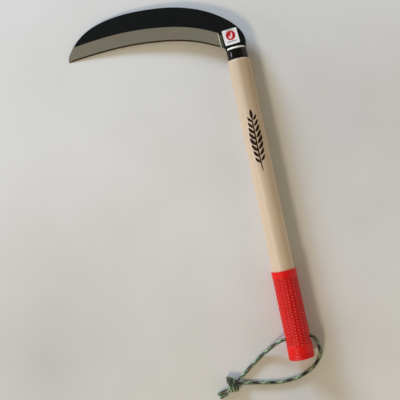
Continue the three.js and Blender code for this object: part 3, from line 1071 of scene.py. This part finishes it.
def scale_material():
    """Black forge scale, and the bare strip beside the heel."""
    scale = Shader("black_forge_scale", Specular_IOR_Level=0.16)
    patches = scale.noise(14, detail=4.0)
    speckle = scale.noise(0.9, detail=4.0)
    black = scale.ramp(patches, (0.3, srgb(8, 9, 8)), (0.55, srgb(12, 13, 12)), (0.75, srgb(15, 15, 16)))
    black = scale.mix(0.5, black, scale.ramp(speckle, (0.3, 0.75), (0.75, 1.5)), "MULTIPLY")
    grind = scale.noise(0.5, stretch=(1, 0.05, 1), detail=3.0)
    bare = scale.ramp(grind, (0.3, srgb(74, 76, 62)), (0.7, srgb(98, 98, 82)))
    across = scale.between(scale.axis("X"), BARE_LEFT_X, HEEL_CORNER[0] - 0.3, 0.5)
    along = scale.between(scale.axis("Y"), 360, BARE_TOP_Y, 1.5)
    beside_heel = scale.math("MULTIPLY", across, along)
    scale.set("Base Color", scale.mix(beside_heel, black, bare))
    scale.set("Metallic", scale.math("MULTIPLY", beside_heel, 0.6))
    scale.set("Roughness", scale.ramp(speckle, (0.3, 0.36), (0.7, 0.52)))
    scale.bump(speckle, 0.03)
    return scale.material


def ground_material():
    """Steel ground across the edge, with fine marks that run from the edge to the bevel's upper line."""
    steel = Shader("ground_steel", Metallic=1.0)
    along = steel.attribute("along", "Fac")
    across = steel.attribute("across", "Fac")
    scratches = steel.combine(along, steel.math("MULTIPLY", across, 0.04), 0.0)
    marks = steel.noise(0.35, vector=scratches)
    cloud = steel.noise(24, detail=2.0)
    tint = steel.ramp(
        cloud,
        (0.35, srgb(176, 172, 160)),
        (0.5, srgb(170, 173, 162)),
        (0.65, srgb(178, 171, 162)),
    )
    steel.set("Base Color", steel.mix(0.6, tint, steel.ramp(marks, (0.3, 0.82), (0.7, 1.1)), "MULTIPLY"))
    steel.set("Roughness", steel.ramp(marks, (0.3, 0.44), (0.7, 0.33)))
    steel.bump(marks, 0.008)
    return steel.material


def honed_material():
    honed = Shader("honed_edge_painted_shade", Metallic=0.5, Roughness=0.4)
    nicks = honed.noise(1.5, detail=4.0)
    # painted shade: the fine bevel at the edge is coloured dark brown all along it
    colour = honed.ramp(
        nicks,
        (0.35, srgb(40, 29, 15)),
        (0.6, srgb(58, 44, 25)),
        (0.8, srgb(88, 74, 50)),
    )
    honed.set("Base Color", colour)
    honed.bump(nicks, 0.01)
    return honed.material


def facet_material():
    facet = Shader("run_out_facet", Metallic=0.3, Roughness=0.5)
    grind = facet.noise(0.4, stretch=(0.2, 1, 1), detail=3.0)
    facet.set("Base Color", facet.ramp(grind, (0.3, srgb(150, 147, 120)), (0.7, srgb(172, 168, 140))))
    facet.bump(grind, 0.01)
    return facet.material


def blade_face_materials(bevelled_count, ring_count, ring_size):
    """The material of each face of the blade, in the order of ring_faces."""
    materials = []
    for r in range(ring_count - 1):
        for i in range(ring_size):
            kind = SCALE
            if r < bevelled_count - 1:
                if i == 0 or i == ring_size - 1:
                    kind = HONED
                elif i <= BEVEL_ROWS or i == ring_size - 2:
                    kind = GROUND
            elif r == bevelled_count - 1 and i <= BEVEL_ROWS:
                kind = FACET
            materials.append(kind)
    return [*materials, GROUND, SCALE]


def make_blade():
    bevelled, (low, high, bevel) = bevelled_sections()
    flat = flat_sections(low, high, bevel)
    rings = bevelled + flat
    ring_size = len(rings[0])
    obj = new_object(
        "sickle_blade",
        [vertex for ring in rings for vertex in ring],
        ring_faces(len(rings), ring_size),
        [scale_material(), ground_material(), honed_material(), facet_material()],
        blade_face_materials(len(bevelled), len(rings), ring_size),
        matrix=TOOL,
    )
    cut(obj, drill(NAIL_HOLE_R, (0, NAIL_Y, -5), (0, NAIL_Y, 5), 32), sharp_angle=3)
    paint(obj, "along", lambda x, y, z: EDGE.nearest(Vector((x, y)))[1])
    paint(obj, "across", lambda x, y, z: EDGE.nearest(Vector((x, y)))[0])
    finish_piece(obj, "blade_steel", "blade")


# ---------------- label

LABEL_WIDTH = 17.4
LABEL_HEIGHT = 17.9
LABEL_CORNER_R = 1
LABEL_CENTRE = (-3.1, 382.2)
LABEL_TURN = math.radians(3.8)
LABEL_BOTTOM = 1.2
LABEL_TOP = 1.4
INK_THICKNESS = 0.02
LABEL_DISC = (0.2, 1.5, 5.6)  # its middle and its radius on the label
LABEL_DASHES = ((-5.4, 1.2), (-3.8, 1.8), (-1.5, 1.1), (0.1, 2.3), (2.9, 1.6), (5, 0.8))  # start and width
PAPER, RED_INK, WHITE_INK, DARK_INK = range(4)


def rounded_rectangle(width, height, radius):
    outline = []
    for k, (sx, sy) in enumerate(((1, 1), (-1, 1), (-1, -1), (1, -1))):
        x, y = sx * (width / 2 - radius), sy * (height / 2 - radius)
        outline += arc(x, y, radius, 90 * k, 90 * (k + 1))
    return outline


def disc(x, y, radius):
    return arc(x, y, radius, 0, 360, 48)[:-1]


def leaf_outline(foot, direction, length, width, bend):
    """The outline of a pointed leaf."""

    def half_width_at(part):
        return width / 2 * math.sin(math.pi * (0.1 + 0.88 * part)) ** 0.8

    left, right = zip(*leaf_sides(foot, direction, length, bend, half_width_at, 10))
    return [tuple(p) for p in right + left[::-1]]


def dash_outline(x, y, width, height):
    return [(x, y), (x + width, y), (x + width, y + height), (x, y + height)]


def bow(x, y, radius, width, start, end):
    """The outline of a curved line, its angles in degrees."""
    inner = arc(x, y, radius, start, end, 20)
    return inner[::-1] + arc(x, y, radius + width, start, end, 20)


def ink_material(name, colour, dark, roughness=0.35):
    ink = Shader(name, Roughness=roughness)
    grain = ink.noise(0.6, detail=3.0)
    ink.set("Base Color", ink.ramp(grain, (0.35, dark), (0.6, colour)))
    return ink.material


def make_label():
    """A glued paper label with a plain printed disc, a sprout of two leaves, a bow and short dashes."""
    x, y, radius = LABEL_DISC
    level_1 = LABEL_TOP + INK_THICKNESS
    level_2 = level_1 + INK_THICKNESS
    outline = rounded_rectangle(LABEL_WIDTH, LABEL_HEIGHT, LABEL_CORNER_R)
    parts = [(*plate(outline, LABEL_BOTTOM, LABEL_TOP), PAPER)]
    parts.append((*plate(disc(x, y, radius), LABEL_TOP - 0.01, level_1), RED_INK))
    for direction, length, bend in ((70, 7.4, 16), (140, 4, -40)):
        leaf = leaf_outline((x - 0.2, y - 3.6), direction, length, 2.2, bend)
        parts.append((*plate(leaf, level_1 - 0.01, level_2), WHITE_INK))
    parts.append((*plate(bow(x, y, radius + 0.6, 0.55, 38, 142), LABEL_TOP - 0.01, level_1), DARK_INK))
    for start, width in LABEL_DASHES:
        dash = dash_outline(start, y - radius - 2, width, 1.1)
        parts.append((*plate(dash, LABEL_TOP - 0.01, level_1), DARK_INK))
    vertices, faces, indices = join_parts(parts)
    materials = [
        ink_material("label_paper", srgb(238, 232, 228), srgb(222, 218, 214), 0.42),
        ink_material("red_ink", srgb(196, 18, 30), srgb(158, 12, 24)),
        ink_material("white_ink", srgb(240, 214, 208), srgb(226, 176, 168)),
        ink_material("dark_ink", srgb(38, 34, 44), srgb(22, 20, 28)),
    ]
    place = TOOL @ Matrix.Translation((*LABEL_CENTRE, 0)) @ Matrix.Rotation(LABEL_TURN, 4, "Z")
    obj = new_object("printed_label", vertices, faces, materials, indices, sharp_angle=35, matrix=place)
    finish_piece(obj, "label_paper", "label")


# ---------------- grip

GRIP_LENGTH = 104.5
GRIP_FRONT_R = 14.6
GRIP_END_R = 15.2
GRIP_FLOOR = 2.5
GRIP_INNER_R = 13.3
GRIP_HOLE_R = 3.6
GRIP_SEGMENTS = 320
GROOVE_DEPTH = 0.6
GROOVE_WIDTH = 1.6
GROOVES_Y = (2.9, 5.6)
PIP_COLUMNS = 20
PIP_PITCH = 3.55
PIP_LOW_Y = 17
PIP_HIGH_Y = 95.1
PIP_LENGTH = 2.1  # along the handle
PIP_WIDTH = 2.5  # round the handle
PIP_HEIGHT = 0.85
PIP_BORDER = 2.5  # over which the ground sinks at both ends of the pips
PIP_FIRST_COLUMN = math.radians(14.5)
GRIP_STEP = 0.36  # distance between the rings of the wall's mesh


def grip_relief(angle, y):
    """The grip's skin over its outer radius, 0 or less: the pips stand on a lowered ground."""
    inside = min(y - PIP_LOW_Y, PIP_HIGH_Y - y) + PIP_PITCH / 2
    lowered = PIP_HEIGHT * min(max(inside / PIP_BORDER, 0.0), 1.0)
    column = (angle - PIP_FIRST_COLUMN) / (2 * math.pi) * PIP_COLUMNS
    nearest = round(column)
    row = (y - PIP_LOW_Y) / PIP_PITCH + (0.5 if nearest % 2 else 0.0)
    middle = PIP_LOW_Y + (round(row) - (0.5 if nearest % 2 else 0.0)) * PIP_PITCH
    if not PIP_LOW_Y <= middle <= PIP_HIGH_Y:
        return -lowered
    pitch_round = 2 * math.pi * GRIP_END_R / PIP_COLUMNS
    across = (column - nearest) * pitch_round / (PIP_WIDTH / 2)
    along = (y - middle) / (PIP_LENGTH / 2)
    reach = 1 - across ** 2 - along ** 2
    return max(PIP_HEIGHT * math.sqrt(max(reach, 0.0)) - PIP_HEIGHT, -lowered)


def rubber_material():
    rubber = Shader("red_rubber", Specular_IOR_Level=0.22)
    cloud = rubber.noise(9, detail=3.0)
    speck = rubber.noise(0.5, detail=3.0)
    red = rubber.ramp(cloud, (0.3, srgb(210, 20, 18)), (0.7, srgb(220, 26, 23)))
    red = rubber.mix(0.5, red, rubber.ramp(speck, (0.3, 0.9), (0.7, 1.05)), "MULTIPLY")
    depth = rubber.attribute("depth", "Fac")
    # painted shade in the hollows between the pips: the deeper the ground, the darker its red
    hollow_shade = rubber.mix(rubber.ramp(depth, (0.2, 0.0), (1.0, 0.27)), red, srgb(104, 5, 6))
    # painted highlight: the tops of the pips are mixed towards a pale pink
    tip_highlight_mask = rubber.ramp(depth, (0.0, 0.45), (0.16, 0.0))
    inside = rubber.between(rubber.axis("Y"), PIP_LOW_Y - 1, PIP_HIGH_Y + 1, 0.5)
    tip_highlight = rubber.math("MULTIPLY", tip_highlight_mask, inside)
    rubber.set("Base Color", rubber.mix(tip_highlight, hollow_shade, srgb(240, 120, 108)))
    rubber.set("Roughness", rubber.ramp(speck, (0.3, 0.28), (0.7, 0.4)))
    rubber.bump(speck, 0.03)
    return rubber.material


def make_grip():
    start = GROOVES_Y[-1] + 1.6
    steps = round((GRIP_LENGTH - 1 - start) / GRIP_STEP)
    wall = [start + (GRIP_LENGTH - 1 - start) * i / steps for i in range(steps + 1)]
    taper = (GRIP_FRONT_R - GRIP_END_R + 0.2) / (GRIP_LENGTH - start)
    profile = [(0, 0), (4, 0), (9, 0), *arc(GRIP_END_R - 1.3, 1.3, 1.3, -90, 0, 8)]
    for y in GROOVES_Y:
        for part in (0, 0.2, 0.4, 0.6, 0.8, 1):
            depth = GROOVE_DEPTH * math.sin(math.pi * part)
            profile.append((GRIP_END_R - depth, y + GROOVE_WIDTH * (part - 0.5)))
    profile += [(GRIP_END_R - 0.2 + taper * (y - start), y) for y in wall]
    profile += [
        *arc(GRIP_FRONT_R - 0.5, GRIP_LENGTH - 0.5, 0.5, 0, 90, 4),
        (GRIP_INNER_R, GRIP_LENGTH),
        (GRIP_INNER_R, GRIP_FLOOR),
        (0, GRIP_FLOOR),
    ]

    def radius_at(radius, y, angle):
        outside = radius > GRIP_FRONT_R - 0.1
        return radius + grip_relief(angle, y) if outside else radius

    vertices, faces = turned(profile, GRIP_SEGMENTS, radius_at)
    obj = new_object("rubber_grip", vertices, faces, [rubber_material()], matrix=TOOL)
    reach = 2 * GRIP_END_R
    hole = drill(GRIP_HOLE_R, (-reach, CROSS_HOLE_Y, 0), (reach, CROSS_HOLE_Y, 0))
    cut(obj, hole, sharp_angle=50)
    paint(obj, "depth", lambda x, y, z: -grip_relief(math.atan2(x, z) % (2 * math.pi), y) / PIP_HEIGHT)
    finish_piece(obj, "red_rubber", "grip_sleeve")


# ---------------- the whole scene

make_camera()
make_floor()
make_light()
make_lanyard()
make_handle()
make_mark()
make_ferrule()
make_nail()
make_blade()
make_label()
make_grip()
